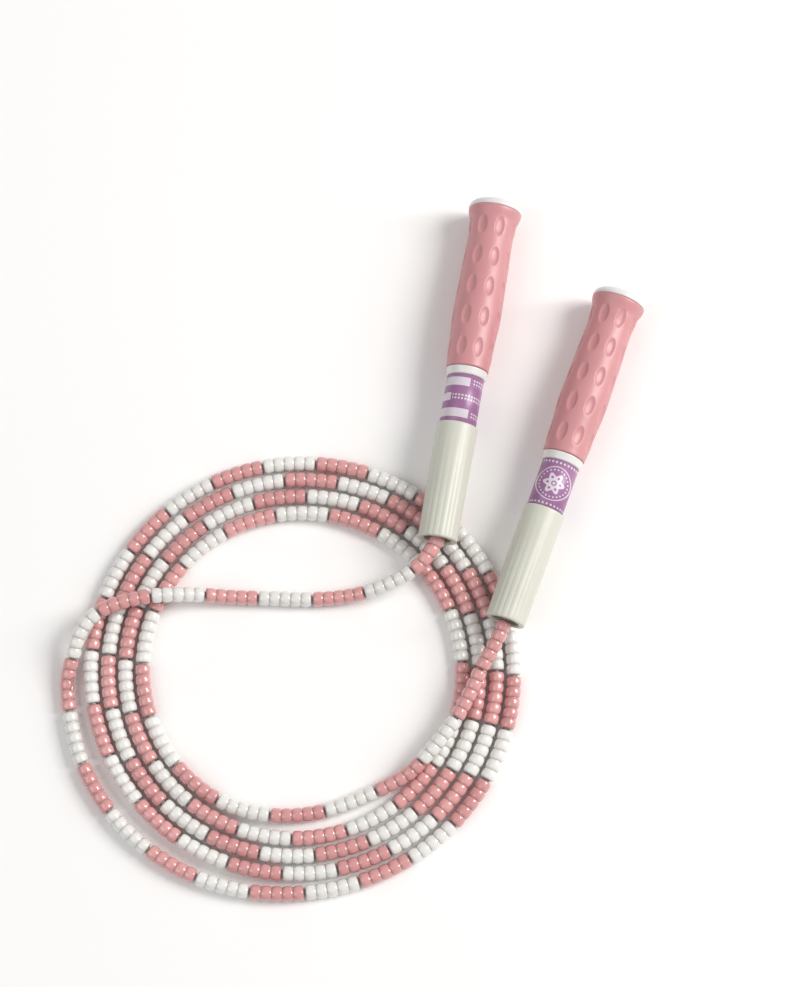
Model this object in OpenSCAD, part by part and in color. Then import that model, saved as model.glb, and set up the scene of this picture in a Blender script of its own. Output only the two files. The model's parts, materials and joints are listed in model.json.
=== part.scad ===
// Beaded jump rope with two turning grip handles, laid down in a flat coil.
// +Z is up, the coil and the butts of the handles lie on Z = 0, and the origin is under
// the middle of the pair of handles.

/* [Beads] */
// Outside diameter of a bead over its ribs
bead_d = 6.8; // [6.4:0.1:6.8]
// Length of one bead
bead_len = 23; // [22:0.1:23.2]
// Number of ribs round a bead
ribs = 5; // [3:1:7]
// Depth of the groove between two ribs
groove = 0.5; // [0.2:0.1:0.8]
// Diameter of the bore through a bead
bead_bore = 2.9; // [2.7:0.1:3.2]

/* [Cord] */
// Diameter of the cord through the beads
cord_d = 2.4; // [2:0.1:2.5]
// Distance from one joint between beads to the next, along the cord
bead_pitch = 24.72; // [24.5:0.02:24.74]
// How far the first bead starts inside the mouth of handle B
bead_start_depth = 0.6; // [0:0.1:1]
// How far the cord runs into each handle
cord_inside = 28; // [27.5:0.5:29]

/* [Coil] */
// Radius of the coil where its first turn starts
coil_r = 66.6; // [66.2:0.1:67]
// Growth of the radius in one turn
coil_pitch = 7.85; // [7.8:0.05:7.9]
// How far the first turn is pulled in at the near side
inner_dip = 3; // [2:0.5:3]
// How far the last turn bulges out at the left
outer_bulge = 4.6; // [4:0.2:5]

/* [Handles] */
// Length of a handle from its mouth to the end of its cap
handle_len = 164.7; // [164.7:0.1:175]
// Diameter of the end cap
cap_d = 25.2; // [24.8:0.1:25.4]
// Height of the end cap's dome
cap_len = 4; // [3:0.5:5]
// Tilt of each handle, mouth end up
tilt = 1.5; // [1.4:0.1:1.6]
// Outside diameter of the front sleeve at its mouth
sleeve_d = 18.2; // [17.6:0.1:18.4]
// Outside diameter of the front sleeve at its back end
sleeve_back_d = 19.2; // [18.6:0.1:19.4]
// Length of the front sleeve
sleeve_len = 54.5; // [50:0.5:55]
// Number of flutes round the front sleeve
flutes = 20; // [12:1:24]
// Diameter of the mouth that the rope leaves by
mouth_d = 12.5; // [12:0.1:13]
// Depth of the mouth
mouth_depth = 13; // [12:0.5:13.5]
// Diameter of the printed label
label_d = 17.1; // [16.6:0.1:17.4]
// Length of the printed label
label_len = 22.6; // [20:0.1:22.6]
// Thickness of the printed label
label_t = 0.3; // [0.2:0.1:0.5]
// Diameter of the collar ring
collar_d = 19.6; // [18:0.1:20]
// Length of the collar ring
collar_len = 4.2; // [3:0.1:4.2]
// Diameter of the core tube inside the grip
core_d = 15; // [14:0.1:15.2]
// Diameter of the bore of the core tube
core_bore = 9; // [8.8:0.1:10]
// Radial clearance between parts that are pushed together
push_gap = 0.05; // [0.02:0.01:0.08]
// Radial clearance between the cord and what turns round it
turn_gap = 0.1; // [0.08:0.01:0.2]

/* [Hidden] */
BEADS = 106;
ROUND = 72;
CORD_SIDES = 8;
FLOOR_Z = 3.5;

// Where the mouth of each handle lies, and which way the handle points there
MOUTH_A_XY = [-44.3, -61.5];
HEADING_A = -100;
MOUTH_B_XY = [-14, -99];
HEADING_B = -109.9;

// The coil: its centre, the angles it starts and ends at, and the step between its points
COIL_XY = [-107.5, -118.5];
COIL_FROM = 66;
COIL_TO = 1614;
COIL_STEP = 18;
// Where a turn is pulled in and where one bulges out: middle and half width, in degrees
DIP_AT = [72, 60];
BULGE_AT = [1585, 75];

// The free strand from handle B down over the coil to the start of its first turn
LEAD = [
    [-18, -108, 15.4], [-24, -118.5, 13.2], [-29.5, -130, 11.8], [-35.5, -141, 11.2],
    [-42.5, -150.5, 11], [-50.5, -159.5, 9.4], [-59.5, -167.5, 6.2]
];

// The free strand from the last turn over the coil, across its middle and up to handle A
CROSSING = [
    [-209, -112.5, 8], [-205.5, -102.5, 11.4], [-198.5, -94.5, 12.6], [-188, -89.5, 12.4],
    [-174.5, -86.5, 11.6], [-162.5, -85.5, 10.4], [-150.5, -85, 6.8], [-137.5, -85.5, 3.9],
    [-120.5, -86, 3.5], [-101.5, -86.5, 3.5], [-83.5, -85, 5], [-70.5, -82, 9],
    [-60, -77.5, 12], [-51.5, -71.5, 15]
];
STEPS_PER_SPAN = 10;

// Stations along a handle, from its mouth
sleeve_end = sleeve_len;
label_gap = 0.3;
label_start = sleeve_end + label_gap;
label_end = label_start + label_len;
collar_start = label_end;
collar_end = collar_start + collar_len;
grip_start = collar_end;
cap_start = handle_len - cap_len;
bush_len = 4;
bush_end = mouth_depth + bush_len;
bush_ledge = 0.3;
bush_r = mouth_d / 2 + bush_ledge;
washer_gap = 0.1;
washer_start = bush_end + washer_gap;
washer_len = 0.8;
washer_r = 4;
stopper_gap = 0.2;
stopper_start = washer_start + washer_len + stopper_gap;
stopper_len = 8;
stopper_r = 3.2;
plug_len = 10;
plug_start = cap_start - plug_len;
plug_taper = 1.5;
// Depth in the mouth from which the cord runs straight along the handle's axis
cord_straight = mouth_depth - 1;
mouth_z = cap_d / 2 * cos(tilt) + cap_start * sin(tilt);
MOUTH_A = [MOUTH_A_XY.x, MOUTH_A_XY.y, mouth_z];
MOUTH_B = [MOUTH_B_XY.x, MOUTH_B_XY.y, mouth_z];

// Bevels on the edges of the front sleeve, the collar ring and the end cap's plug
SLEEVE_EDGE = 0.5;
COLLAR_EDGE = [0.6, 0.8];
PLUG_EDGE = 0.8;
// Width of the round edge of the end cap's dome, and of the straight band below it
CAP_ROUND = 3.6;
CAP_BAND = 0.6;

// Flutes of the front sleeve, which run back from its mouth
FLUTE_R = 1.2;
FLUTE_DEPTH = 0.2;
FLUTE_LEN = 24;
FLUTE_ROUND = 24;

// Outline of the grip: distance along the handle, and radius
GRIP = [
    [grip_start, 9.9], [grip_start + 8.4, 10.4], [110, 11.3], [128, 10.95],
    [147, 10.5], [154, 11], [cap_start, 12.5]
];
GRIP_STEPS = 3;
DIMPLE_ROWS = 5;
DIMPLE_FIRST = 90.7;
DIMPLE_PITCH = 15;
DIMPLES_ROUND = 8;
DIMPLE_TURN = 19;
DIMPLE_LEN = 9.5;
DIMPLE_DEPTH = 0.8;
DIMPLE_R = 3;

PINK = [0.86, 0.56, 0.58];
IVORY = [0.93, 0.92, 0.88];
PURPLE = [0.66, 0.47, 0.68];
WHITE = [0.95, 0.94, 0.93];
STEEL = [0.7, 0.71, 0.73];

// The first bead of each turn and of the crossing, and one past the last bead
STRETCH_FROM = [1, 22, 42, 63, 85, 99, BEADS + 1];

// ---- Route of the cord ----

// A smooth hump from 0 up to 1 and back, at [middle, half width]
function hump(phi, at) =
    abs(phi - at.x) > at.y ? 0 : (1 + cos(180 * (phi - at.x) / at.y)) / 2;

function turn_radius(phi) =
    coil_r + coil_pitch * phi / 360
    - inner_dip * hump(phi, DIP_AT) + outer_bulge * hump(phi, BULGE_AT);

// A point of the coil, which runs clockwise seen from above
function coil_point(phi) = [
    COIL_XY.x + turn_radius(phi) * cos(phi),
    COIL_XY.y - turn_radius(phi) * sin(phi),
    FLOOR_Z
];

// Unit vector out of a handle's mouth
function way_out(heading) =
    [cos(heading) * cos(tilt), sin(heading) * cos(tilt), sin(tilt)];

function inside_a(depth) = MOUTH_A - depth * way_out(HEADING_A);
function inside_b(depth) = MOUTH_B - depth * way_out(HEADING_B);

CONTROLS = concat(
    [inside_b(cord_inside), inside_b(cord_inside / 2), MOUTH_B],
    LEAD,
    [for (phi = [COIL_FROM:COIL_STEP:COIL_TO]) coil_point(phi)],
    CROSSING,
    [MOUTH_A, inside_a(cord_inside / 2), inside_a(cord_inside)]
);

// Catmull-Rom curve through four points, from b at t = 0 to c at t = 1
function span_point(a, b, c, d, t) =
    (2 * b + (c - a) * t + (2 * a - 5 * b + 4 * c - d) * t * t
    + (3 * b - a - 3 * c + d) * t * t * t) / 2;

function control(i) = CONTROLS[min(max(i, 0), len(CONTROLS) - 1)];
function on_floor(p) = [p.x, p.y, max(p.z, FLOOR_Z)];

ROUTE = concat(
    [for (i = [0:len(CONTROLS) - 2]) for (k = [0:STEPS_PER_SPAN - 1])
        on_floor(span_point(control(i - 1), control(i), control(i + 1), control(i + 2),
            k / STEPS_PER_SPAN))],
    [control(len(CONTROLS))]
);

// Distance along the route to each of its points
LENGTHS = [
    for (i = 0, s = 0; i < len(ROUTE);
        i = i + 1, s = i < len(ROUTE) ? s + norm(ROUTE[i] - ROUTE[i - 1]) : s) s
];

function along_axis(s, k) = lookup(s, [for (i = [0:len(ROUTE) - 1]) [LENGTHS[i], ROUTE[i][k]]]);
function along(s) = [along_axis(s, 0), along_axis(s, 1), along_axis(s, 2)];

// Joints between beads: bead i lies between JOINTS[i - 1] and JOINTS[i]
JOINTS = [
    for (i = [0:BEADS]) along(cord_inside - bead_start_depth + i * bead_pitch)
];

// ---- Cord and beads ----

function unit(v) = v / norm(v);

// One ring of the cord's surface round the point p, square to the way t
function ring(p, t) =
    let (side = unit(cross(t, [0, 0, 1])), up = cross(side, t))
    [for (k = [0:CORD_SIDES - 1])
        p + cord_d / 2 * (cos(k * 360 / CORD_SIDES) * side + sin(k * 360 / CORD_SIDES) * up)];

// Closed tube along a list of points
module tube(points) {
    last = len(points) - 1;
    rings = [for (i = [0:last])
        ring(points[i], unit(
            (i < last ? unit(points[i + 1] - points[i]) : [0, 0, 0])
            + (i > 0 ? unit(points[i] - points[i - 1]) : [0, 0, 0])))];
    n = CORD_SIDES;
    polyhedron(
        points = [for (r = rings) each r],
        faces = concat(
            [[for (k = [0:n - 1]) k]],
            [for (i = [0:last - 1]) for (k = [0:n - 1])
                [i * n + k, (i + 1) * n + k, (i + 1) * n + (k + 1) % n, i * n + (k + 1) % n]],
            [[for (k = [n - 1:-1:0]) last * n + k]]
        ),
        convexity = 10
    );
}

module cord() {
    color(WHITE)
    tube(concat(
        [inside_b(cord_inside), inside_b(cord_straight)],
        JOINTS,
        [inside_a(cord_straight), inside_a(cord_inside)]
    ));
}

// Points of one rib's outline, as [share of its length, share of its height]
RIB = [[0, 0], [0.1, 0.66], [0.3, 1], [0.7, 1], [0.9, 0.66]];
// Rounding of a bead's ends, as [how far in from the ribs, how far in from the end]
END_ROUND = [[1.5, 0], [0.7, 0.35]];
END_LEN = 0.9;

module bead() {
    rib_len = bead_len / ribs;
    outer = bead_d / 2;
    rib_points = [for (i = [0:ribs - 1]) for (p = RIB)
        [outer - groove * (1 - p.y), (i + p.x) * rib_len]];
    rotate_extrude($fn = ROUND)
    polygon(concat(
        [[bead_bore / 2, 0]],
        [for (p = END_ROUND) [outer - p.x, p.y]],
        [for (p = rib_points) if (p.y > END_LEN && p.y < bead_len - END_LEN) p],
        [for (i = [len(END_ROUND) - 1:-1:0]) [outer - END_ROUND[i].x, bead_len - END_ROUND[i].y]],
        [[bead_bore / 2, bead_len]]
    ));
}

// Lays a bead with its middle half way between two joints
module between(p, q) {
    way = q - p;
    translate((p + q) / 2)
    rotate([0, acos(way.z / norm(way)), atan2(way.y, way.x)])
    translate([0, 0, -bead_len / 2])
    children();
}

// Beads of one stretch: even ones are pink, odd ones ivory, and the first is pink too
module beads(stretch, pink) {
    color(pink ? PINK : IVORY)
    for (i = [STRETCH_FROM[stretch]:STRETCH_FROM[stretch + 1] - 1])
        if ((i % 2 == 0 || i == 1) == pink)
            between(JOINTS[i - 1], JOINTS[i]) bead();
}

// ---- Parts of a handle, drawn along +Z from its mouth ----

module turned(outer_r, bore_r, from, to) {
    translate([0, 0, from])
    difference() {
        cylinder(h = to - from, r = outer_r, $fn = ROUND);
        translate([0, 0, -1]) cylinder(h = to - from + 2, r = bore_r, $fn = ROUND);
    }
}

module cord_stopper() {
    color(STEEL)
    turned(stopper_r, cord_d / 2 + push_gap, stopper_start, stopper_start + stopper_len);
}

module thrust_washer() {
    color(STEEL)
    turned(washer_r, cord_d / 2 + turn_gap, washer_start, washer_start + washer_len);
}

module nose_bush() {
    color(WHITE)
    turned(bush_r, cord_d / 2 + turn_gap, mouth_depth, bush_end);
}

module front_sleeve() {
    front = sleeve_d / 2;
    back = sleeve_back_d / 2;
    bore = bush_r + push_gap;
    e = SLEEVE_EDGE;
    color(IVORY)
    difference() {
        rotate_extrude($fn = ROUND)
        polygon([
            [mouth_d / 2 + e, 0], [front - e, 0], [front, e], [back, sleeve_end - e],
            [back - e, sleeve_end], [bore, sleeve_end], [bore, mouth_depth],
            [mouth_d / 2, mouth_depth], [mouth_d / 2, e]
        ]);
        for (k = [0:flutes - 1])
            rotate([0, 0, (k + 0.5) * 360 / flutes])
            translate([front + FLUTE_R - FLUTE_DEPTH, 0, -1])
            cylinder(h = FLUTE_LEN + 1, r = FLUTE_R, $fn = FLUTE_ROUND);
    }
}

module core_tube() {
    seat = label_d / 2 - label_t - push_gap;
    color(WHITE)
    rotate_extrude($fn = ROUND)
    polygon([
        [core_bore / 2, bush_end], [bush_r, bush_end], [bush_r, sleeve_end],
        [seat, sleeve_end], [seat, label_end], [core_d / 2, label_end],
        [core_d / 2, cap_start], [core_bore / 2, cap_start]
    ]);
}

module label() {
    color(PURPLE)
    turned(label_d / 2, label_d / 2 - label_t, label_start, label_end);
}

module collar_ring() {
    outer = collar_d / 2;
    bore = core_d / 2 + push_gap;
    e = COLLAR_EDGE;
    color(WHITE)
    rotate_extrude($fn = ROUND)
    polygon([
        [bore, collar_start], [outer - e.x, collar_start], [outer, collar_start + e.y],
        [outer, collar_end - e.y], [outer - e.x, collar_end], [bore, collar_end]
    ]);
}

// Point of the grip's outline as [radius, distance], eased between stations i and i + 1
function grip_point(i, t) =
    let (a = GRIP[i], b = GRIP[i + 1])
    [a.y + (b.y - a.y) * (1 - cos(180 * t)) / 2, a.x + (b.x - a.x) * t];

// Lens that cuts one dimple, round about its own long axis
module dimple() {
    meridian = (DIMPLE_LEN * DIMPLE_LEN / 4 + DIMPLE_DEPTH * DIMPLE_DEPTH) / (2 * DIMPLE_DEPTH);
    tip = sqrt(meridian * meridian - (meridian - DIMPLE_R) * (meridian - DIMPLE_R));
    rotate_extrude($fn = ROUND)
    intersection() {
        translate([DIMPLE_R - meridian, 0]) circle(r = meridian, $fn = 4 * ROUND);
        translate([0, -tip]) square([DIMPLE_R + 1, 2 * tip]);
    }
}

// All points of the grip's outline, and its radius at a distance along the handle
GRIP_OUTLINE = concat(
    [for (i = [0:len(GRIP) - 2]) for (k = [0:GRIP_STEPS - 1]) grip_point(i, k / GRIP_STEPS)],
    [grip_point(len(GRIP) - 2, 1)]
);
function grip_radius(z) = lookup(z, [for (p = GRIP_OUTLINE) [p.y, p.x]]);

module grip() {
    color(PINK)
    difference() {
        rotate_extrude($fn = ROUND)
        polygon(concat(
            [[core_d / 2 + push_gap, grip_start]],
            GRIP_OUTLINE,
            [[core_d / 2 + push_gap, cap_start]]
        ));
        for (row = [0:DIMPLE_ROWS - 1]) for (k = [0:DIMPLES_ROUND - 1]) {
            z = DIMPLE_FIRST + row * DIMPLE_PITCH;
            rotate([0, 0, DIMPLE_TURN + k * 360 / DIMPLES_ROUND])
            translate([grip_radius(z) + DIMPLE_R - DIMPLE_DEPTH, 0, z])
            dimple();
        }
    }
}

module end_cap() {
    lip = cap_d / 2;
    plug = core_bore / 2 - push_gap;
    height = cap_len - CAP_BAND;
    color(WHITE)
    rotate_extrude($fn = ROUND)
    polygon(concat(
        [[0, plug_start], [plug - PLUG_EDGE, plug_start], [plug, plug_start + plug_taper],
        [plug, cap_start], [lip, cap_start]],
        [for (a = [0:18:90])
            [lip - CAP_ROUND * (1 - cos(a)), cap_start + CAP_BAND + height * sin(a)]],
        [[0, handle_len]]
    ));
}

// ---- Placing the handles ----

// Puts a handle drawn along +Z where it lies: its mouth first, its butt behind it
module lay_handle(mouth, heading) {
    translate(mouth)
    rotate([0, 0, heading])
    rotate([0, -90 - tilt, 0])
    children();
}

module at_a() { lay_handle(MOUTH_A, HEADING_A) children(); }
module at_b() { lay_handle(MOUTH_B, HEADING_B) children(); }

cord();
beads(0, true);  // turn_1_pink_beads
beads(0, false);  // turn_1_ivory_beads
beads(1, true);  // turn_2_pink_beads
beads(1, false);  // turn_2_ivory_beads
beads(2, true);  // turn_3_pink_beads
beads(2, false);  // turn_3_ivory_beads
beads(3, true);  // turn_4_pink_beads
beads(3, false);  // turn_4_ivory_beads
beads(4, true);  // turn_5_pink_beads
beads(4, false);  // turn_5_ivory_beads
beads(5, true);  // crossing_pink_beads
beads(5, false);  // crossing_ivory_beads
at_a() cord_stopper();  // cord_stopper_a
at_a() thrust_washer();  // thrust_washer_a
at_a() nose_bush();  // nose_bush_a
at_a() front_sleeve();  // front_sleeve_a
at_a() core_tube();  // core_tube_a
at_a() label();  // label_a
at_a() collar_ring();  // collar_ring_a
at_a() grip();  // grip_a
at_a() end_cap();  // end_cap_a
at_b() cord_stopper();  // cord_stopper_b
at_b() thrust_washer();  // thrust_washer_b
at_b() nose_bush();  // nose_bush_b
at_b() front_sleeve();  // front_sleeve_b
at_b() core_tube();  // core_tube_b
at_b() label();  // label_b
at_b() collar_ring();  // collar_ring_b
at_b() grip();  // grip_b
at_b() end_cap();  // end_cap_b
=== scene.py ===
"""Beaded jump rope: bent ribbed beads on a cord in a flat coil, and two dimpled grip handles."""

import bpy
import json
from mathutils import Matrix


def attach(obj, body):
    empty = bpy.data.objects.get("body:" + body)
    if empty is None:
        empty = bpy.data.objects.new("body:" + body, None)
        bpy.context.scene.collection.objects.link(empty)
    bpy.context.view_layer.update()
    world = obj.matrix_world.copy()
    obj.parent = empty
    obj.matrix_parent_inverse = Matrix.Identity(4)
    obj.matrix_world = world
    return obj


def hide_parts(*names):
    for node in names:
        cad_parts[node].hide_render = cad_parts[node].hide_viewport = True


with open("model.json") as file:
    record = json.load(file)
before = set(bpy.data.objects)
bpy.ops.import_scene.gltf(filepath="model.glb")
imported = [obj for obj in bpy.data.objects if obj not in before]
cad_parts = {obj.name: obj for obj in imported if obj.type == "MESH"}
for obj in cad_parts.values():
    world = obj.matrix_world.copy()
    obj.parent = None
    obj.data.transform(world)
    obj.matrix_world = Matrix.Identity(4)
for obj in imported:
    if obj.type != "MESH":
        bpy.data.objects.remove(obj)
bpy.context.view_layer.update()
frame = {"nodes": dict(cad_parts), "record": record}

import json
import math
import random

import bpy
from mathutils import Vector

MM = 0.001
RECORD = frame["record"]
random.seed(7)


# ---------------------------------------------------------------- frame helpers

def joint(name):
    return next(j for j in RECORD["behaviour"]["joints"] if j["name"] == name)


class Handle:
    """One handle: its mouth, the unit vector out of it, and two vectors square to that."""

    def __init__(self, letter):
        spin = joint(f"handle_{letter}_spin")
        self.letter = letter
        self.body = f"handle_{letter}"
        self.mouth = Vector(spin["pos_m"])
        self.out = Vector(spin["axis"]).normalized()
        self.side = self.out.cross(Vector((0, 0, 1))).normalized()
        self.up = self.side.cross(self.out).normalized()

    def point(self, depth, radius=0.0, angle=0.0):
        """A point behind the mouth. Angle 0 faces straight up, and grows towards the side."""
        ring = self.up * math.cos(angle) + self.side * math.sin(angle)
        return self.mouth - self.out * depth + ring * radius

    def reach(self, node):
        """(near end, far end, largest radius) of one of the handle's CAD nodes."""
        depths, radii = [], []
        for vertex in frame["nodes"][f"{node}_{self.letter}"].data.vertices:
            arm = vertex.co - self.mouth
            depth = -arm.dot(self.out)
            depths.append(depth)
            radii.append((arm + self.out * depth).length)
        return min(depths), max(depths), max(radii)


HANDLES = [Handle("a"), Handle("b")]
HANDLE_A, HANDLE_B = HANDLES


# ---------------------------------------------------------------- camera

ELEVATION = math.radians(77)
VIEW_DISTANCE = 1.08
AIM = Vector((-0.0635, -0.036, 0))

camera_data = bpy.data.cameras.new("camera")
camera_data.lens = 85
camera_data.sensor_fit = "VERTICAL"
camera_data.sensor_height = 36
camera_data.clip_end = 20
camera = bpy.data.objects.new("camera", camera_data)
bpy.context.scene.collection.objects.link(camera)
back = Vector((0, -math.cos(ELEVATION), math.sin(ELEVATION)))
camera.location = AIM + back * VIEW_DISTANCE
camera.rotation_euler = (math.pi / 2 - ELEVATION, 0, 0)
bpy.context.scene.camera = camera


# ---------------------------------------------------------------- route of the cord

BEADS = 106
BEAD_PITCH = 24.72 * MM
BEAD_START_DEPTH = 0.6 * MM
CORD_INSIDE = 28 * MM
CORD_D = 2.4 * MM
FLOOR_Z = 3.5 * MM
STEPS_PER_SPAN = 10
WAY_REACH = 2.5 * MM

# The coil, in millimetres: a spiral by its angle in degrees, with a dip where its first turn
# starts and a bulge where its last one ends, each as (middle, half width) in degrees
COIL_CENTRE = (-107.5, -118.5)
COIL_R = 66.6
COIL_PITCH = 7.85
COIL_ANGLES = range(66, 1615, 18)
INNER_DIP = 3
DIP_AT = (72, 60)
OUTER_BULGE = 4.6
BULGE_AT = (1585, 75)
# Points on the way from handle B down into the coil, and from the coil up to handle A
LEAD = [
    (-18, -108, 15.4), (-24, -118.5, 13.2), (-29.5, -130, 11.8), (-35.5, -141, 11.2),
    (-42.5, -150.5, 11), (-50.5, -159.5, 9.4), (-59.5, -167.5, 6.2),
]
CROSSING = [
    (-209, -112.5, 8), (-205.5, -102.5, 11.4), (-198.5, -94.5, 12.6), (-188, -89.5, 12.4),
    (-174.5, -86.5, 11.6), (-162.5, -85.5, 10.4), (-150.5, -85, 6.8), (-137.5, -85.5, 3.9),
    (-120.5, -86, 3.5), (-101.5, -86.5, 3.5), (-83.5, -85, 5), (-70.5, -82, 9),
    (-60, -77.5, 12), (-51.5, -71.5, 15),
]


def hump(phi, mid, half):
    """A smooth hump from 0 up to 1 and back, centred on mid."""
    if abs(phi - mid) > half:
        return 0
    return (1 + math.cos(math.pi * (phi - mid) / half)) / 2


def coil_point(phi):
    radius = COIL_R + COIL_PITCH * phi / 360
    radius += OUTER_BULGE * hump(phi, *BULGE_AT) - INNER_DIP * hump(phi, *DIP_AT)
    angle = math.radians(phi)
    x = COIL_CENTRE[0] + radius * math.cos(angle)
    y = COIL_CENTRE[1] - radius * math.sin(angle)
    return Vector((x * MM, y * MM, FLOOR_Z))


def span_point(a, b, c, d, t):
    """Catmull-Rom curve through four points, from b at t = 0 to c at t = 1."""
    return (
        2 * b + (c - a) * t + (2 * a - 5 * b + 4 * c - d) * t * t
        + (3 * b - a - 3 * c + d) * t * t * t
    ) / 2


def build_route():
    controls = [HANDLE_B.point(CORD_INSIDE), HANDLE_B.point(CORD_INSIDE / 2), HANDLE_B.mouth]
    controls += [Vector(p) * MM for p in LEAD]
    controls += [coil_point(phi) for phi in COIL_ANGLES]
    controls += [Vector(p) * MM for p in CROSSING]
    controls += [HANDLE_A.mouth, HANDLE_A.point(CORD_INSIDE / 2), HANDLE_A.point(CORD_INSIDE)]
    last = len(controls) - 1
    points = []
    for i in range(last):
        four = [controls[min(max(k, 0), last)] for k in (i - 1, i, i + 1, i + 2)]
        for step in range(STEPS_PER_SPAN):
            p = span_point(*four, step / STEPS_PER_SPAN)
            points.append(Vector((p.x, p.y, max(p.z, FLOOR_Z))))
    return points + [controls[last]]


class Route:
    """The cord's centreline, which gives a place and a frame at any distance along it."""

    def __init__(self, points):
        self.points = points
        self.at = [0.0]
        for a, b in zip(points, points[1:]):
            self.at.append(self.at[-1] + (b - a).length)
        self.length = self.at[-1]

    def place(self, s):
        s = min(max(s, 0.0), self.length)
        low, high = 0, len(self.at) - 1
        while high - low > 1:
            mid = (low + high) // 2
            if self.at[mid] <= s:
                low = mid
            else:
                high = mid
        share = (s - self.at[low]) / (self.at[high] - self.at[low])
        return self.points[low].lerp(self.points[high], share)

    def frame_at(self, s):
        """(place, side, up) at distance s, with the way averaged over a short reach."""
        before, after = self.place(s - WAY_REACH), self.place(s + WAY_REACH)
        way = (after - before).normalized()
        side = way.cross(Vector((0, 0, 1))).normalized()
        return self.place(s), side, side.cross(way)


route = Route(build_route())


# ---------------------------------------------------------------- mesh helpers

def new_piece(name, verts, faces, material, smooth=True):
    mesh = bpy.data.meshes.new(name)
    mesh.from_pydata([tuple(v) for v in verts], [], faces)
    mesh.update()
    if smooth:
        mesh.polygons.foreach_set("use_smooth", [True] * len(mesh.polygons))
    mesh.materials.append(material)
    piece = bpy.data.objects.new(name, mesh)
    bpy.context.scene.collection.objects.link(piece)
    return piece


def ring_faces(first, rows, sides):
    """Quads between rings of points, and from the last ring back to the first."""
    faces = []
    for row in range(rows):
        a = first + row * sides
        b = first + ((row + 1) % rows) * sides
        for k in range(sides):
            n = (k + 1) % sides
            faces.append((a + k, a + n, b + n, b + k))
    return faces


def vertex_attribute(piece, name, values):
    """Stores one number per vertex, which the materials read by its name."""
    layer = piece.data.attributes.new(name, "FLOAT", "POINT")
    layer.data.foreach_set("value", values)


# ---------------------------------------------------------------- materials

def rgb(red, green, blue):
    """A colour given in display values from 0 to 255, as the shader's linear values."""
    def linear(v):
        v /= 255
        return v / 12.92 if v <= 0.04045 else ((v + 0.055) / 1.055) ** 2.4
    return (linear(red), linear(green), linear(blue), 1)


class Shader:
    """A material's node tree, with short calls for the nodes that the pieces use."""

    def __init__(self, name):
        self.material = bpy.data.materials.new(name)
        self.material.use_nodes = True
        self.tree = self.material.node_tree
        self.tree.nodes.clear()
        output = self.tree.nodes.new("ShaderNodeOutputMaterial")
        self.surface = self.tree.nodes.new("ShaderNodeBsdfPrincipled")
        self.link(self.surface.outputs["BSDF"], output.inputs["Surface"])
        self.position = self.tree.nodes.new("ShaderNodeTexCoord").outputs["Object"]

    def link(self, a, b):
        self.tree.links.new(a, b)

    def put(self, socket, value):
        """Links a socket to a node's output, or sets it to a plain value."""
        if isinstance(value, bpy.types.NodeSocket):
            self.link(value, socket)
        else:
            socket.default_value = value

    def set(self, **values):
        for name, value in values.items():
            self.put(self.surface.inputs[name.replace("_", " ")], value)

    def noise(self, scale, detail=2.0):
        node = self.tree.nodes.new("ShaderNodeTexNoise")
        self.link(self.position, node.inputs["Vector"])
        node.inputs["Scale"].default_value = scale
        node.inputs["Detail"].default_value = detail
        return node.outputs["Fac"]

    def ramp(self, value, low, high):
        """Maps 0 to 1 onto low to high."""
        node = self.tree.nodes.new("ShaderNodeMapRange")
        self.put(node.inputs["Value"], value)
        node.inputs["To Min"].default_value = low
        node.inputs["To Max"].default_value = high
        return node.outputs["Result"]

    def math(self, kind, a, b=0.0):
        node = self.tree.nodes.new("ShaderNodeMath")
        node.operation = kind
        self.put(node.inputs[0], a)
        self.put(node.inputs[1], b)
        return node.outputs[0]

    def mix(self, share, a, b):
        node = self.tree.nodes.new("ShaderNodeMix")
        node.data_type = "RGBA"
        self.put(node.inputs["Factor"], share)
        self.put(node.inputs["A"], a)
        self.put(node.inputs["B"], b)
        return node.outputs["Result"]

    def attribute(self, name):
        node = self.tree.nodes.new("ShaderNodeAttribute")
        node.attribute_name = name
        return node.outputs["Fac"]

    def along(self, origin, way):
        """Distance from a point along a unit vector, in millimetres."""
        from_origin = self.tree.nodes.new("ShaderNodeVectorMath")
        from_origin.operation = "SUBTRACT"
        self.link(self.position, from_origin.inputs[0])
        from_origin.inputs[1].default_value = origin
        dot = self.tree.nodes.new("ShaderNodeVectorMath")
        dot.operation = "DOT_PRODUCT"
        self.link(from_origin.outputs["Vector"], dot.inputs[0])
        dot.inputs[1].default_value = way
        return self.math("MULTIPLY", dot.outputs["Value"], 1 / MM)

    def between(self, value, low, high):
        """1 where the value lies between two limits, and 0 elsewhere."""
        return self.math(
            "MULTIPLY", self.math("GREATER_THAN", value, low), self.math("LESS_THAN", value, high)
        )

    def distance(self, x, y):
        squares = self.math("POWER", x, 2), self.math("POWER", y, 2)
        return self.math("SQRT", self.math("ADD", *squares))

    def repeat(self, value, pitch):
        """The value within its own cell of a row, from -pitch / 2 to pitch / 2."""
        cell = self.math("FRACT", self.math("ADD", self.math("DIVIDE", value, pitch), 0.5))
        return self.math("MULTIPLY", self.math("SUBTRACT", cell, 0.5), pitch)

    def union(self, first, *others):
        for other in others:
            first = self.math("MAXIMUM", first, other)
        return first

    def bump(self, height, strength, distance):
        node = self.tree.nodes.new("ShaderNodeBump")
        node.inputs["Strength"].default_value = strength
        node.inputs["Distance"].default_value = distance
        self.put(node.inputs["Height"], height)
        self.link(node.outputs["Normal"], self.surface.inputs["Normal"])


# Painted shade in the grooves: its darkness as a share of the plastic's dark colour, and how much
# of it shows
PAINTED_SHADE = 0.45
PAINTED_SHADE_SHARE = 0.55


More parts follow.
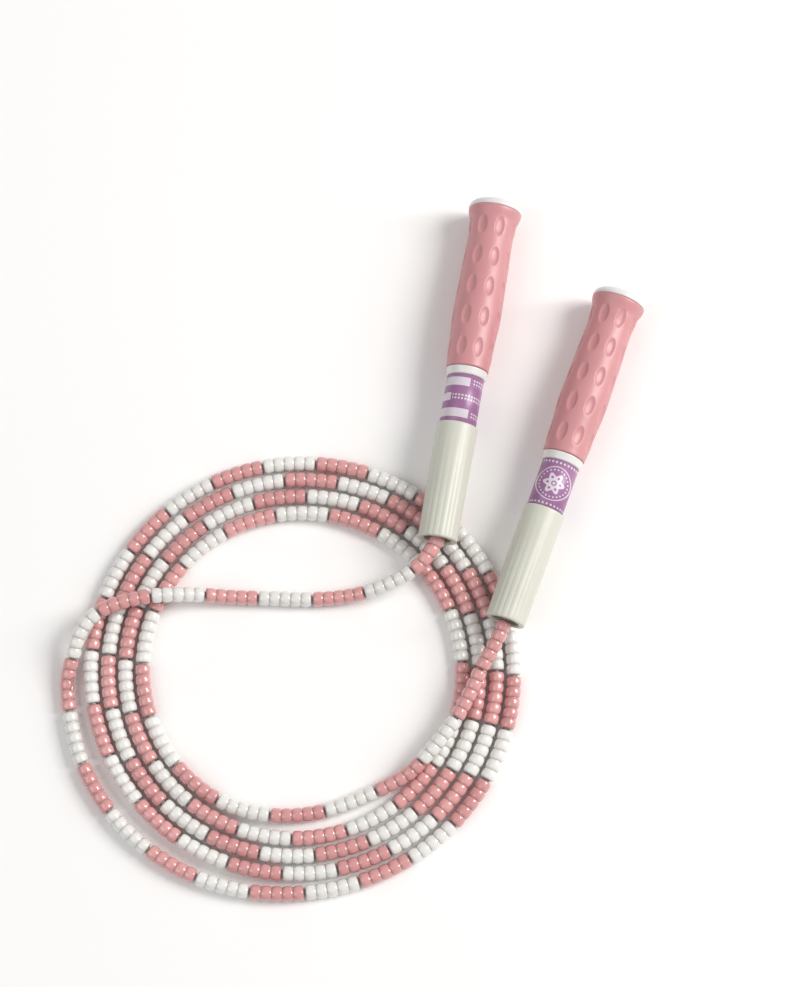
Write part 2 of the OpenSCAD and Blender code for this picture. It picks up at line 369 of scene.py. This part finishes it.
def soft_plastic(name, light, dark, roughness, tone=None, deep=None, coat=0.0):
    """Moulded plastic: a slow drift of colour, a fine uneven skin and a soft gloss.
    tone names an attribute that shifts the tint, and deep one that paints shade into the grooves."""
    s = Shader(name)
    share = s.noise(90, 3)
    if tone:
        share = s.math("MULTIPLY", s.math("ADD", share, s.attribute(tone)), 0.5)
    colour = s.mix(share, dark, light)
    # Painted shade: where deep is high, the colour turns towards a dark copy of the plastic's
    # colour, for the shade in grooves and recesses
    if deep:
        painted_shade = tuple(PAINTED_SHADE * c for c in dark[:3]) + (1,)
        colour = s.mix(s.math("MULTIPLY", s.attribute(deep), PAINTED_SHADE_SHARE), colour, painted_shade)
    s.set(Base_Color=colour)
    s.set(Roughness=s.ramp(s.noise(400, 3), roughness - 0.05, roughness + 0.07))
    s.set(IOR=1.5, Coat_Weight=coat, Coat_Roughness=0.12)
    s.bump(s.noise(1400, 2), 0.3, 0.02 * MM)
    return s.material


PINK_BEAD = soft_plastic(
    "pink_bead", rgb(233, 171, 169), rgb(205, 142, 141), 0.22, tone="tone", deep="deep", coat=1.0
)
IVORY_BEAD = soft_plastic(
    "ivory_bead", rgb(244, 242, 238), rgb(228, 225, 220), 0.22, tone="tone", deep="deep", coat=1.0
)
PINK_GRIP = soft_plastic("pink_grip", rgb(209, 148, 151), rgb(200, 138, 141), 0.36)
WHITE = soft_plastic("white_plastic", rgb(232, 230, 228), rgb(222, 220, 218), 0.22, coat=0.3)
IVORY = soft_plastic("ivory_plastic", rgb(211, 211, 199), rgb(202, 202, 189), 0.38, deep="deep")


def cord_material():
    """Braided cord: fine diagonal strands."""
    s = Shader("cord")
    wave = s.tree.nodes.new("ShaderNodeTexWave")
    s.link(s.position, wave.inputs["Vector"])
    wave.inputs["Scale"].default_value = 900
    wave.inputs["Distortion"].default_value = 4
    s.set(Base_Color=s.mix(wave.outputs["Fac"], rgb(170, 160, 152), rgb(215, 208, 200)))
    s.set(Roughness=s.ramp(wave.outputs["Fac"], 0.6, 0.8))
    s.bump(wave.outputs["Fac"], 0.5, 0.1 * MM)
    return s.material


def steel_material():
    s = Shader("steel")
    grain = s.noise(3000, 2)
    s.set(Base_Color=s.mix(grain, rgb(176, 178, 182), rgb(196, 198, 201)), Metallic=1.0)
    s.set(Roughness=s.ramp(grain, 0.28, 0.42))
    return s.material


CORD = cord_material()
STEEL = steel_material()


# ---------------------------------------------------------------- cord

def make_cord():
    curve = bpy.data.curves.new("cord_line", "CURVE")
    curve.dimensions = "3D"
    spline = curve.splines.new("POLY")
    spline.points.add(len(route.points) - 1)
    for point, place in zip(spline.points, route.points):
        point.co = (*place, 1)
    curve.bevel_depth = CORD_D / 2
    curve.bevel_resolution = 3
    curve.use_fill_caps = True
    curve.materials.append(CORD)
    piece = bpy.data.objects.new("cord_line", curve)
    bpy.context.scene.collection.objects.link(piece)
    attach(piece, "rope")
    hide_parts("cord")
    return piece


# ---------------------------------------------------------------- beads

# Each bead is a row of ribs: END_ROUND holds (distance from the end, inset) pairs of its
# rounded ends, and RIB_STATIONS the shares of a rib's length that get a ring of points
BEAD_R = 3.45 * MM
GROOVE = 0.8 * MM
BORE_R = 1.45 * MM
JOINT_GAP = 0.7 * MM
END_ROUND = ((0, 1.3 * MM), (0.06 * MM, 1.0 * MM), (0.22 * MM, 0.72 * MM))
RIBS = 5
BEAD_SIDES = 32
RIB_STATIONS = (0, 0.04, 0.1, 0.19, 0.33, 0.5, 0.67, 0.81, 0.9, 0.96)
CROWN_POWER = 2.2
CLEAR_OF_ENDS = 0.2 * MM
# The stretches of the rope that the nodes are named for, and the first bead of each
STRETCHES = ("turn_1", "turn_2", "turn_3", "turn_4", "turn_5", "crossing")
STRETCH_FROM = (1, 22, 42, 63, 85, 99, BEADS + 1)


def bead_profile(length):
    """(distance, radius) pairs along a bead, from one face to the other."""
    rib = length / RIBS
    near = [(at, BEAD_R - inset) for at, inset in END_ROUND]
    far = [(length - at, radius) for at, radius in reversed(near)]
    ribs = []
    for i in range(RIBS):
        for t in RIB_STATIONS:
            distance = (i + t) * rib
            crown = max(1 - abs(2 * t - 1) ** CROWN_POWER, 0) ** 0.5
            if near[-1][0] + CLEAR_OF_ENDS < distance < far[0][0] - CLEAR_OF_ENDS:
                ribs.append((distance, BEAD_R - GROOVE * (1 - crown)))
    return [(0, BORE_R)] + near + ribs + far + [(length, BORE_R)]


def add_bead(verts, faces, start, length):
    """Adds one bead that follows the route, closed through its bore, and returns how deep
    each of its points lies below the ribs, from 0 to 1."""
    profile = bead_profile(length)
    first = len(verts)
    twist = random.random() * math.tau
    for distance, radius in profile:
        place, side, up = route.frame_at(start + distance)
        for k in range(BEAD_SIDES):
            angle = twist + math.tau * k / BEAD_SIDES
            verts.append(place + (side * math.cos(angle) + up * math.sin(angle)) * radius)
    faces += ring_faces(first, len(profile), BEAD_SIDES)
    return [min((BEAD_R - r) / GROOVE, 1) for _, r in profile for _ in range(BEAD_SIDES)]


def make_beads(stretch, colour, material):
    verts, faces, tones, depths = [], [], [], []
    for i in range(STRETCH_FROM[stretch], STRETCH_FROM[stretch + 1]):
        tone = random.random()
        is_pink = i % 2 == 0 or i == 1
        if is_pink != (colour == "pink"):
            continue
        start = CORD_INSIDE - BEAD_START_DEPTH + (i - 1) * BEAD_PITCH + JOINT_GAP / 2
        depth = add_bead(verts, faces, start, BEAD_PITCH - JOINT_GAP)
        depths += depth
        tones += [tone] * len(depth)
    name = f"{STRETCHES[stretch]}_{colour}_beads"
    piece = new_piece(f"{name}_bent", verts, faces, material)
    vertex_attribute(piece, "tone", tones)
    # deep: how far down each point lies in a groove, which the bead materials turn into painted
    # shade
    vertex_attribute(piece, "deep", depths)
    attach(piece, "rope")
    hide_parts(name)
    return piece


cord = make_cord()
for stretch in range(len(STRETCHES)):
    make_beads(stretch, "pink", PINK_BEAD)
    make_beads(stretch, "ivory", IVORY_BEAD)


# ---------------------------------------------------------------- handles

def turned(handle, name, outline, material, sides=96, shape=None, deep=None):
    """A piece turned about the handle's axis from (depth, radius) pairs.
    shape(depth, angle, radius) may move a point in or out, and deep(depth, angle, radius)
    gives how much painted shade its groove or recess gets, from 0 to 1."""
    verts, depths = [], []
    for depth, radius in outline:
        for k in range(sides):
            angle = math.tau * k / sides
            r = shape(depth, angle, radius) if shape else radius
            verts.append(handle.point(depth, r, angle))
            depths.append(deep(depth, angle, radius) if deep else 0.0)
    faces = ring_faces(0, len(outline), sides)
    piece = new_piece(f"{name}_{handle.letter}", verts, faces, material)
    vertex_attribute(piece, "deep", depths)
    return piece


def fit(piece, handle, node, body=None):
    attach(piece, body or handle.body)
    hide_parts(f"{node}_{handle.letter}")


# The grip's outline as (distance from the mouth, radius), in millimetres
GRIP_OUTLINE = [
    (81.6, 9.9), (90, 10.4), (110, 11.3), (128, 10.95), (147, 10.5), (154, 11), (160.7, 12.5)
]
DIMPLE_ROWS = 5
DIMPLE_FIRST = 90.7 * MM
DIMPLE_PITCH = 15 * MM
DIMPLES_ROUND = 8
DIMPLE_TURN = math.radians(19)
DIMPLE_HALF_LEN = 4.8 * MM
DIMPLE_HALF_WIDTH = 2.4 * MM
DIMPLE_DEPTH = 0.85 * MM
DIMPLE_BOWL = 3
DIMPLE_FILLET = 0.07
GRIP_EDGE = 0.5 * MM
CORE_R = 7.55 * MM


def eased(outline, at):
    """Value of an outline at a distance, eased between its stations."""
    for (a, low), (b, high) in zip(outline, outline[1:]):
        if at <= b:
            t = (at - a) / (b - a)
            return low + (high - low) * (1 - math.cos(math.pi * t)) / 2
    return outline[-1][1]


def dimple_at(depth, angle, radius):
    """How deep a dimple is at a place on the grip, from 0 on its skin to 1."""
    row = min(max(round((depth - DIMPLE_FIRST) / DIMPLE_PITCH), 0), DIMPLE_ROWS - 1)
    along = (depth - DIMPLE_FIRST - row * DIMPLE_PITCH) / DIMPLE_HALF_LEN
    step = math.tau / DIMPLES_ROUND
    off = (angle + DIMPLE_TURN + step / 2) % step - step / 2
    across = off * radius / DIMPLE_HALF_WIDTH
    bowl = 1 - math.hypot(along, across) ** DIMPLE_BOWL
    return (bowl + math.hypot(bowl, DIMPLE_FILLET)) / 2


def rounded(depth, near, far, edge):
    """How far in an outline lies where its ends are rounded to a radius."""
    from_end = min(depth - near, far - depth)
    if from_end >= edge:
        return 0.0
    return edge - math.sqrt(edge ** 2 - (edge - from_end) ** 2)


def make_grip(handle):
    near, far, _ = handle.reach("grip")
    steps = 260
    outline = [(near, CORE_R)]
    for i in range(steps + 1):
        depth = near + (far - near) * i / steps
        radius = eased(GRIP_OUTLINE, depth / MM) * MM
        outline.append((depth, radius - rounded(depth, near, far, GRIP_EDGE)))
    outline.append((far, CORE_R))

    def dimpled(depth, angle, radius):
        if radius <= CORE_R:
            return radius
        return radius - DIMPLE_DEPTH * dimple_at(depth, angle, radius)

    piece = turned(handle, "grip_shell", outline, PINK_GRIP, 256, dimpled)
    fit(piece, handle, "grip")


FLUTES = 20
FLUTE_DEPTH = 0.22 * MM
FLUTE_SHARPNESS = 0.8
# The flutes keep their full depth over the first part of the sleeve, then fade out
FLUTE_FULL_TO = 0.25
FLUTE_GONE_AT = 0.964
MOUTH_R = 6.25 * MM
MOUTH_DEPTH = 13 * MM
SLEEVE_BORE_R = 6.6 * MM
SLEEVE_FRONT_R = 9.1 * MM
# Roundings as (distance from the end, how far in), in millimetres: the lip inside the mouth,
# which widens outwards, the lip outside it, and the back edge
LIP_INSIDE = ((4, 0), (0.9, 0), (0.3, 0.15), (0, 0.6))
LIP_OUTSIDE = ((0, 0.7), (0.1, 0.35), (0.35, 0.1), (0.8, 0))
BACK_EDGE = ((0.5, 0), (0.2, 0.12), (0, 0.5))
LIP_LEN = 0.5 * MM
# Painted shade on the sleeve: how dark it gets in its mouth, on its lip and in its flutes
MOUTH_SHADE = 1.0
LIP_SHADE = 0.3
FLUTE_SHADE = 0.1


def make_sleeve(handle):
    near, far, back_r = handle.reach("front_sleeve")
    front_r = SLEEVE_FRONT_R
    outline = [(MOUTH_DEPTH, SLEEVE_BORE_R), (MOUTH_DEPTH, MOUTH_R)]
    outline += [(near + at * MM, MOUTH_R + out * MM) for at, out in LIP_INSIDE]
    outline += [(near + at * MM, front_r - inset * MM) for at, inset in LIP_OUTSIDE]
    front = outline[-1][0]
    back = far - BACK_EDGE[0][0] * MM
    steps = 60
    for i in range(1, steps):
        share = i / steps
        outline.append((front + (back - front) * share, front_r + (back_r - front_r) * share))
    outline += [(far - at * MM, back_r - inset * MM) for at, inset in BACK_EDGE]
    outline.append((far, SLEEVE_BORE_R))

    def flute(depth, angle, r):
        """How deep a flute is, from 0 on its ridges to 1. The lip and the mouth have none."""
        if r < front_r - FLUTE_DEPTH:
            return 0.0
        share = (depth - near) / (far - near)
        fade = (FLUTE_GONE_AT - share) / (FLUTE_GONE_AT - FLUTE_FULL_TO)
        ridge = abs(math.sin(angle * FLUTES / 2)) ** FLUTE_SHARPNESS
        return max(0.0, min(1.0, fade)) * (1 - ridge)

    def fluted(depth, angle, r):
        return r - FLUTE_DEPTH * flute(depth, angle, r)

    # Painted shade: the inside of the mouth and the lip are darkened for the shade in the recess,
    # and the flutes slightly in their hollows
    def shade(depth, angle, r):
        outside = r > (MOUTH_R + front_r) / 2
        if outside:
            return FLUTE_SHADE * flute(depth, angle, r)
        return MOUTH_SHADE if depth > near + LIP_LEN else LIP_SHADE

    piece = turned(handle, "sleeve_shell", outline, IVORY, FLUTES * 12, fluted, shade)
    fit(piece, handle, "front_sleeve")


COLLAR_SLOPE = 0.8 * MM
COLLAR_EDGE = 0.7 * MM
COLLAR_GAP = 0.15 * MM


def make_collar(handle):
    near, far, radius = handle.reach("collar_ring")
    near += COLLAR_GAP
    far -= COLLAR_GAP
    steps = 20
    outline = [(near, CORE_R)]
    for i in range(steps + 1):
        depth = near + (far - near) * i / steps
        slope = COLLAR_SLOPE * (far - depth) / (far - near)
        outline.append((depth, radius - slope - rounded(depth, near, far, COLLAR_EDGE)))
    outline.append((far, CORE_R))
    piece = turned(handle, "collar_shell", outline, WHITE)
    fit(piece, handle, "collar_ring")


CAP_LEN = 4 * MM
CAP_ROUND = 3.6 * MM
CAP_BAND = 0.6 * MM
CAP_FLAT_R = 4 * MM
# Rounding of the cap's rim where it meets the grip: (distance from it, how far in)
RIM_ROUND = ((0.05 * MM, 0.35 * MM), (0.2 * MM, 0.08 * MM))
PLUG_R = 4.45 * MM
PLUG_EDGE = 0.8 * MM
PLUG_TAPER = 1.5 * MM
# The ends close down to a point too small to see, inside a ring that keeps them flat
EYE_R = 0.05 * MM
AXIS_R = 0.005 * MM


def make_cap(handle):
    near, far, radius = handle.reach("end_cap")
    lip = far - CAP_LEN
    band = lip + CAP_BAND
    outline = [
        (near, AXIS_R), (near, EYE_R), (near, PLUG_R - PLUG_EDGE), (near + PLUG_TAPER, PLUG_R),
        (lip, PLUG_R),
    ]
    outline += [(lip + at, radius - inset) for at, inset in RIM_ROUND]
    steps = 14
    for i in range(steps + 1):
        a = math.pi / 2 * i / steps
        outline.append((band + (far - band) * math.sin(a), radius - CAP_ROUND * (1 - math.cos(a))))
    outline += [(far, CAP_FLAT_R), (far, EYE_R), (far, AXIS_R)]
    piece = turned(handle, "cap_shell", outline, WHITE)
    fit(piece, handle, "end_cap", body=f"cap_{handle.letter}")


# The prints are worked out in millimetres: right runs round the label from its top, and
# along runs from its end at the sleeve
LABEL_LEN = 22.6
LABEL_R = 8.55
FILM = 0.3 * MM
FILM_EDGE = 0.08 * MM

# Pale bands of label A: where each starts and ends along it, and where it stops round it
BANDS = ((1.9, 6.0, 4.2), (9.6, 13.4, -5.6), (17.0, 21.0, 2.6))
BANDS_FROM = -24
DOTS_TO = 17
DOT_PITCH = 1.55
DOT_R = 0.5
DOTS_INSET = 0.3
DOTS_GAP = 0.8

# Emblem of label B, from its middle outwards, and the dots along the label's edges
EYE_RING = (0.7, 1.25)
PETALS = 6
PETAL_HOLE_AT = 3
PETAL_HOLE_R = 0.62
FLOWER_R = 4.3
PETAL_SWELL = 0.9
BEADING = 24
BEADING_AT = 6.5
BEADING_R = 0.4
OUTER_RING = (7.7, 8.15)
EDGE_DOTS = 28
EDGE_DOTS_AT = 10
EDGE_DOT_R = 0.52


def banded_print(s, right, along):
    """Pale bands that run round to strips of small dots."""
    from_dot = s.distance(s.repeat(right, DOT_PITCH), s.repeat(along, DOT_PITCH))
    dots = s.math("LESS_THAN", from_dot, DOT_R)
    masks = []
    for low, high, stop in BANDS:
        band = s.between(along, low, high)
        masks.append(s.math("MULTIPLY", band, s.between(right, BANDS_FROM, stop)))
        inner = s.between(along, low + DOTS_INSET, high - DOTS_INSET)
        strip = s.math("MULTIPLY", inner, s.between(right, stop + DOTS_GAP, DOTS_TO))
        masks.append(s.math("MULTIPLY", strip, dots))
    return s.union(*masks)


def dots_in_ring(s, radius, turn, at, count, dot_r):
    """Dots round the emblem's middle, all at one distance from it."""
    sideways = s.repeat(s.math("MULTIPLY", turn, at), math.tau * at / count)
    return s.math("LESS_THAN", s.distance(s.math("SUBTRACT", radius, at), sideways), dot_r)


def ringed_print(s, right, along):
    """A ring round a plain flower on two sides, both round when seen square on, and a row of
    dots along both edges."""
    side = s.math("DIVIDE", s.repeat(right, math.pi * LABEL_R), LABEL_R)
    x = s.math("MULTIPLY", s.math("SINE", side), LABEL_R)
    y = s.math("SUBTRACT", along, LABEL_LEN / 2)
    radius = s.distance(x, y)
    turn = s.math("ARCTAN2", y, x)
    swell = s.math("MULTIPLY", s.math("COSINE", s.math("MULTIPLY", turn, PETALS)), PETAL_SWELL)
    flower = s.math("LESS_THAN", radius, s.math("ADD", swell, FLOWER_R))
    holes = dots_in_ring(s, radius, turn, PETAL_HOLE_AT, PETALS, PETAL_HOLE_R)
    flower = s.math("SUBTRACT", flower, s.union(holes, s.between(radius, *EYE_RING)))
    beading = dots_in_ring(s, radius, turn, BEADING_AT, BEADING, BEADING_R)
    ring = s.between(radius, *OUTER_RING)
    from_row = s.math("SUBTRACT", s.math("ABSOLUTE", y), EDGE_DOTS_AT)
    from_dot = s.distance(s.repeat(right, math.tau * LABEL_R / EDGE_DOTS), from_row)
    return s.union(ring, flower, beading, s.math("LESS_THAN", from_dot, EDGE_DOT_R))


def label_material(handle, near):
    """Printed film, with each label's own print."""
    s = Shader(f"label_{handle.letter}")
    angle = s.math("ARCTAN2", s.along(handle.mouth, -handle.side), s.along(handle.mouth, handle.up))
    right = s.math("MULTIPLY", angle, LABEL_R)
    along = s.math("SUBTRACT", s.along(handle.mouth, -handle.out), near / MM)
    pattern = banded_print if handle.letter == "a" else ringed_print
    purple = s.mix(s.noise(150, 3), rgb(143, 95, 139), rgb(164, 117, 158))
    s.set(Base_Color=s.mix(pattern(s, right, along), purple, rgb(216, 206, 215)))
    s.set(Roughness=s.ramp(s.noise(500), 0.28, 0.4), Coat_Weight=0.15, Coat_Roughness=0.15)
    s.bump(s.noise(700), 0.2, 0.02 * MM)
    return s.material


def make_label(handle):
    near, far, radius = handle.reach("label")
    inner = radius - FILM
    edge = radius - FILM_EDGE
    outline = [
        (near, inner), (near, edge), (near + FILM_EDGE, radius), (far - FILM_EDGE, radius),
        (far, edge), (far, inner),
    ]
    piece = turned(handle, "label_wrap", outline, label_material(handle, near))
    fit(piece, handle, "label")


def dress_inner_nodes(handle):
    """Gives the inner CAD nodes, whose shapes stay, their materials."""
    for node, material in (
        ("core_tube", WHITE), ("nose_bush", WHITE),
        ("thrust_washer", STEEL), ("cord_stopper", STEEL),
    ):
        mesh = frame["nodes"][f"{node}_{handle.letter}"].data
        mesh.materials.clear()
        mesh.materials.append(material)


for handle in HANDLES:
    make_grip(handle)
    make_sleeve(handle)
    make_collar(handle)
    make_cap(handle)
    make_label(handle)
    dress_inner_nodes(handle)


# ---------------------------------------------------------------- stage and light

FLOOR_HALF = 6


def make_floor():
    corners = [(x * FLOOR_HALF, y * FLOOR_HALF, 0) for x, y in ((-1, -1), (1, -1), (1, 1), (-1, 1))]
    s = Shader("floor")
    s.set(Base_Color=s.mix(s.noise(2), rgb(248, 247, 246), rgb(252, 251, 250)), Roughness=0.9)
    floor = new_piece("floor", corners, [(0, 1, 2, 3)], s.material, smooth=False)


def area_light(name, offset, size, power, colour=(1, 1, 1)):
    """A soft box at an offset from the middle of the view, turned towards it."""
    data = bpy.data.lights.new(name, "AREA")
    data.shape = "RECTANGLE"
    data.size, data.size_y = size
    data.energy = power
    data.color = colour
    light = bpy.data.objects.new(name, data)
    bpy.context.scene.collection.objects.link(light)
    light.location = AIM + Vector(offset)
    light.rotation_euler = (-Vector(offset)).to_track_quat("-Z", "Y").to_euler()


make_floor()
area_light("key", (1.8, 0.5, 1.75), (1.15, 1.15), 48, (1, 0.985, 0.965))
area_light("kicker", (2.2, 0.3, 1.0), (0.35, 0.8), 9)
area_light("fill", (-1.6, -0.6, 2.0), (2.0, 2.0), 18)

world = bpy.data.worlds.new("world")
world.use_nodes = True
world.node_tree.nodes["Background"].inputs["Color"].default_value = (1, 1, 1, 1)
world.node_tree.nodes["Background"].inputs["Strength"].default_value = 0.38
bpy.context.scene.world = world
bpy.context.scene.view_settings.view_transform = "Standard"
